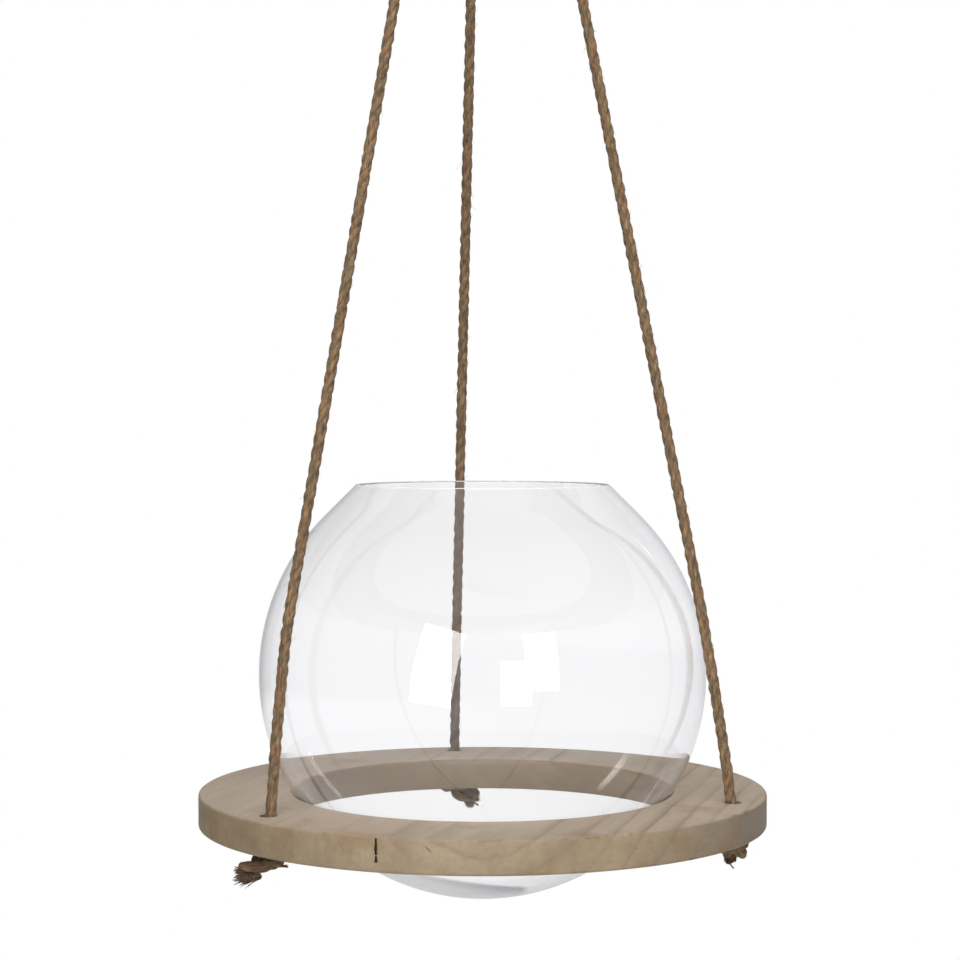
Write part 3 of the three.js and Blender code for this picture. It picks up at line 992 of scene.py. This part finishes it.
# %% A speck of bark in the front edge
BARK_AZIMUTH = -99.8
BARK_LEAN = 41
BARK_DEPTH = 4.1 * MM
BARK_SIZE = (3.1 * MM, 2 * MM, 0.7 * MM)
bark_middle = outward(BARK_AZIMUTH) * RING_OUTER + upright(ring_top - BARK_DEPTH)
bark_turn = (0, math.radians(BARK_LEAN), math.radians(BARK_AZIMUTH + 90))
bark_place = placed(tree, place["Object"], bark_middle, bark_turn, BARK_SIZE)
ragged = remap(tree, nick_noise, 0.35, 0.65, 0.65, 1.6)
bark_distance = maths(tree, "MULTIPLY", vector_maths(tree, "LENGTH", "Value", bark_place), ragged)
bark_share = grey_ramp(tree, bark_distance, (0.25, 0.7), (0.9, 0))
barked = mix_colour(tree, nicked, light_value(96, 76, 52), bark_share)
print("wood nodes with bark:", len(tree.nodes))

# %% Painted shade in the cracks, and dress the board
CRACK_SHADE_SIZE = (1.1 * MM, CRACK_DEPTH - 0.15 * MM, 5.2 * MM)
CRACK_SHADE_DEPTH = 5.6 * MM
crack_shade_middle = outward(CRACK_AZIMUTH) * (RING_OUTER - CRACK_DEPTH) + upright(ring_top - CRACK_SHADE_DEPTH)
crack_shade_turn = (0, 0, math.radians(CRACK_AZIMUTH + 90))
crack_shade_place = placed(tree, place["Object"], crack_shade_middle, crack_shade_turn, CRACK_SHADE_SIZE)
crack_shade_apart = axes(tree, vector_maths(tree, "ABSOLUTE", "Vector", crack_shade_place))
wide_or_deep = maths(tree, "MAXIMUM", crack_shade_apart["X"], crack_shade_apart["Y"])
box_distance = maths(tree, "MAXIMUM", wide_or_deep, crack_shade_apart["Z"])
# Painted shade on the walls of the cracks.
painted_crack_shade = grey_ramp(tree, box_distance, (0.94, 1), (1, 0))
wood_colour = mix_colour(tree, barked, light_value(92, 68, 42), painted_crack_shade)
wood_bump = add(tree, "ShaderNodeBump", {"Strength": 0.35, "Distance": 0.25 * MM,
                                         "Height": streak_noise})["Normal"]
wood_shader = add(tree, "ShaderNodeBsdfPrincipled", {
    "Base Color": wood_colour, "Roughness": remap(tree, streak_noise, 0, 1, 0.5, 0.75),
    "Normal": wood_bump, "Specular IOR Level": 0.2})
dress([board], wood, Surface=wood_shader["BSDF"])

# %% [markdown]
# ## Clear glass
# Clean glass shows by what it bends and mirrors, and by the little light it keeps: the longer the
# way through the skin, the greyer, so the outline is the darkest part. A volume absorption does
# that. The lip is ground, so it lets less light through. A grey streak is painted into the glass's
# colour across the bottom, slanting, sharp at its upper edge and fading below. It is the product
# of five soft limits. Shadow rays go straight through, because bent light would need very many samples.

# %% A grey streak on the bottom of the glass
STREAK_SLOPE = 0.165
STREAK_TINT = (0.42, 0.42, 0.46, 1)
glass, tree = new_finish("clear_glass")
apart = axes(tree, object_place(tree))
slanted = maths(tree, "MULTIPLY_ADD", apart["X"], STREAK_SLOPE, apart["Z"])
# A grey streak painted into the glass's colour, low on the bottom.
streak_limits = (
    remap(tree, slanted, -653.4 * MM, -654.8 * MM),
    remap(tree, slanted, -656 * MM, -664 * MM, 1, 0.25),
    remap(tree, apart["X"], -32 * MM, 8 * MM, 0.45, 1),
    remap(tree, apart["X"], 20 * MM, 16.5 * MM),
    remap(tree, apart["Y"], -20 * MM, -28 * MM),
)
glass_streak = streak_limits[0]
for limit in streak_limits[1:]:
    glass_streak = maths(tree, "MULTIPLY", glass_streak, limit)
print("glass nodes for the film:", len(tree.nodes))

# %% Dress the globe
ground_lip = remap(tree, apart["Z"], LIP_HEIGHT - 0.15 * MM, LIP_HEIGHT + 0.05 * MM, 1, 0.45)
glass_shader = add(tree, "ShaderNodeBsdfPrincipled", {
    "Base Color": mix_colour(tree, WHITE, STREAK_TINT, glass_streak), "Roughness": 0, "IOR": 1.45,
    "Specular IOR Level": 0.18, "Transmission Weight": ground_lip})
let_through = add(tree, "ShaderNodeBsdfTransparent", {"Color": (0.93, 0.93, 0.94, 1)})
ray = add(tree, "ShaderNodeLightPath", {})
surface = mix_shaders(tree, ray["Is Shadow Ray"], glass_shader["BSDF"], let_through["BSDF"])
kept_light = add(tree, "ShaderNodeVolumeAbsorption", {"Color": (0.74, 0.74, 0.78, 1), "Density": 36})
dress([globe], glass, Surface=surface, Volume=kept_light["Volume"])

# %% [markdown]
# ## The floor
# A pale round floor lies well below the globe and catches its shadow. It fades to white towards its
# rim, so that it meets the white background without a line. Glass that mirrors it sees it greyer,
# as a real floor is. From below the floor can't be seen, so the vase can be looked at from there.


# %% Kinds of ray
def ray_kinds(tree):
    """Is it from the camera, from a mirror or glass, unmirrored so far, and not yet off matt things?"""
    ray = add(tree, "ShaderNodeLightPath", {})
    mirror_or_glass = maths(tree, "MAXIMUM", ray["Is Glossy Ray"], ray["Is Transmission Ray"])
    unmirrored = maths(tree, "LESS_THAN", ray["Glossy Depth"], 0.5)
    first_look = maths(tree, "LESS_THAN", ray["Diffuse Depth"], 0.5)
    return ray["Is Camera Ray"], mirror_or_glass, unmirrored, first_look


# %% Floor
FLOOR_RADIUS = 1.0
FLOOR_HEIGHT = -0.95
floor_mesh = bmesh.new()
bmesh.ops.create_circle(floor_mesh, cap_ends=True, segments=128, radius=FLOOR_RADIUS,
                        matrix=Matrix.Translation((0, 0, FLOOR_HEIGHT)))
floor = mesh_object(floor_mesh, "floor_disc")
paper, tree = new_finish("floor_paper")
from_middle = distance(tree, object_place(tree), (1 / FLOOR_RADIUS, 1 / FLOOR_RADIUS, 0))
fade = grey_ramp(tree, from_middle, (0.2, 0.45), (0.85, 1))
mirrored_floor = grey_ramp(tree, from_middle, (0.3, 0.7), (1, 0.62))
camera_ray, mirror_or_glass, unmirrored, first_look = ray_kinds(tree)
floor_white = mix_colour(tree, mirrored_floor, WHITE, unmirrored)
camera_fade = maths(tree, "MULTIPLY", fade, camera_ray)
any_white = maths(tree, "MAXIMUM", camera_fade, mirror_or_glass)
white_share = maths(tree, "MULTIPLY", any_white, first_look)
matt = add(tree, "ShaderNodeBsdfDiffuse", {"Color": (0.86, 0.86, 0.87, 1)})
blank = add(tree, "ShaderNodeEmission", {"Color": floor_white, "Strength": 1})
faded = mix_shaders(tree, white_share, matt["BSDF"], blank["Emission"])
from_below = add(tree, "ShaderNodeNewGeometry", {})["Backfacing"]
unseen = add(tree, "ShaderNodeBsdfTransparent", {})
one_sided = mix_shaders(tree, from_below, faded, unseen["BSDF"])
dress([floor], paper, Surface=one_sided)

# %% [markdown]
# ## Lamps
# Light for rope and wood, and what the glass mirrors, are set apart, as a photographer does with
# flags and screens. Five soft lamps light only matt things. Three windows are seen only in mirrors,
# and make the bright panes on the globe. Three narrow strips behind honeycomb grids are seen only
# by way of the glass, and make the thin lines low in its wall.


# %% Lamp helpers
def hang_lamp(name, place, turn, size, watts, seen_by, spread=180):
    lamp = bpy.data.lights.new(name, "AREA")
    lamp.shape = "RECTANGLE"
    lamp.size, lamp.size_y = size
    lamp.energy = watts
    lamp.spread = math.radians(spread)
    hung = put_in_scene(name, lamp)
    hung.location = place
    hung.rotation_euler = turn.to_euler()
    hung.visible_camera = False
    hung.visible_diffuse = seen_by == "matt"
    hung.visible_glossy = seen_by == "mirror"
    hung.visible_transmission = seen_by == "glass"


def softbox(name, place, size, watts, seen_by, roll=0):
    """A lamp that faces the globe, rolled by some degrees."""
    aim = (GLOBE_MIDDLE - Vector(place)).to_track_quat("-Z", "Y").to_matrix()
    hang_lamp(name, place, aim @ Matrix.Rotation(math.radians(roll), 3, "Z"), size, watts, seen_by)


def narrow_strip(name, foot, head, facing, width, watts):
    """A lamp from foot to head behind a grid, so that it shines only close to the way it faces."""
    back = -Vector(facing).normalized()
    up = Vector(head) - Vector(foot)
    size = (width, up.length)
    up = (up - up.dot(back) * back).normalized()
    turn = Matrix((up.cross(back), up, back)).transposed()
    hang_lamp(name, (Vector(foot) + Vector(head)) / 2, turn, size, watts, "glass", GRID_SPREAD)


def beside_camera(turn, rise):
    """A place at an angle beside and above the way from the globe to the camera."""
    flat = outward(-90 + turn) * math.cos(math.radians(rise))
    return GLOBE_MIDDLE + (flat + upright(math.sin(math.radians(rise)))) * LAMP_REACH


# %% Lamps
GLOBE_MIDDLE = upright(GLOBE_CENTRE)
LAMP_REACH = 1.6
GRID_SPREAD = 21
RIGHT_FACING = (-0.718, -0.545, -0.433)
LEFT_FACING = (0.794, -0.175, -0.583)
softbox("left_light", beside_camera(-23, 9), (0.7, 1.3), 4, "matt")
softbox("right_light", beside_camera(26, 7), (0.7, 1.1), 5.2, "matt")
softbox("top_light", (0, -0.7, 0.85), (1, 1.4), 21, "matt")
softbox("back_light", (0, 1.5, -0.62), (1.2, 0.9), 5, "matt")
softbox("floor_light", (0, 0, -0.94), (1, 1), 0.15, "matt")
softbox("left_window", beside_camera(-23, 8.8), (0.6, 1.06), 32, "mirror", -9)
softbox("right_window", beside_camera(29, 10.5), (0.46, 0.76), 13, "mirror")
softbox("low_window", beside_camera(16, 1), (0.42, 0.6), 9, "mirror")
narrow_strip("right_strip", (0.868, 0.848, -0.25), (0.772, 0.788, 0.03), RIGHT_FACING, 0.006, 0.1)
narrow_strip("right_second_strip", (0.898, 0.804, -0.25), (0.794, 0.757, 0.03), RIGHT_FACING,
             0.006, 0.08)
narrow_strip("left_strip", (-1.06, 0.376, -0.035), (-0.848, 0.372, 0.256), LEFT_FACING, 0.1, 0.008)
print("lamps:", len(bpy.data.lights))

# %% [markdown]
# ## The background
# The camera sees plain white. Through clear glass it sees paper, a little greyer overhead. Rays that
# a mirror has turned see the room instead: grey, darker on the left, lighter low down, so that the
# globe gets a shape. Light that has met something matt sees only a weak even fill.

# %% World
world = bpy.data.worlds.new("studio")
bpy.context.scene.world = world
world.use_nodes = True
tree = world.node_tree
tree.nodes.clear()
toward = axes(tree, add(tree, "ShaderNodeTexCoord", {})["Generated"])
room = ramp(tree, remap(tree, toward["X"], -0.6, 0.6), (
    (0, (0.5, 0.5, 0.52, 1)), (1, (0.84, 0.84, 0.87, 1))))
low_down = remap(tree, toward["Z"], -0.13, -0.18, 0, 0.85)
lit_room = mix_colour(tree, room, (0.94, 0.94, 0.96, 1), low_down)
paper_roll = ramp(tree, remap(tree, toward["Z"], -0.03, -0.085), (
    (0, (0.91, 0.91, 0.91, 1)), (1, (0.99, 0.99, 1, 1))))
camera_ray, mirror_or_glass, unmirrored, first_look = ray_kinds(tree)
paper_or_room = mix_colour(tree, lit_room, paper_roll, unmirrored)
seen_colour = mix_colour(tree, paper_or_room, WHITE, camera_ray)
any_view = maths(tree, "MAXIMUM", camera_ray, mirror_or_glass)
first_view = maths(tree, "MULTIPLY", any_view, first_look)
fill = add(tree, "ShaderNodeBackground", {"Color": WHITE, "Strength": 0.13})
backdrop = add(tree, "ShaderNodeBackground", {"Color": seen_colour, "Strength": 1})
seen_or_fill = mix_shaders(tree, first_view, fill["Background"], backdrop["Background"])
add(tree, "ShaderNodeOutputWorld", {"Surface": seen_or_fill})
bpy.context.scene.view_settings.view_transform = "Standard"
print("world nodes:", len(tree.nodes))
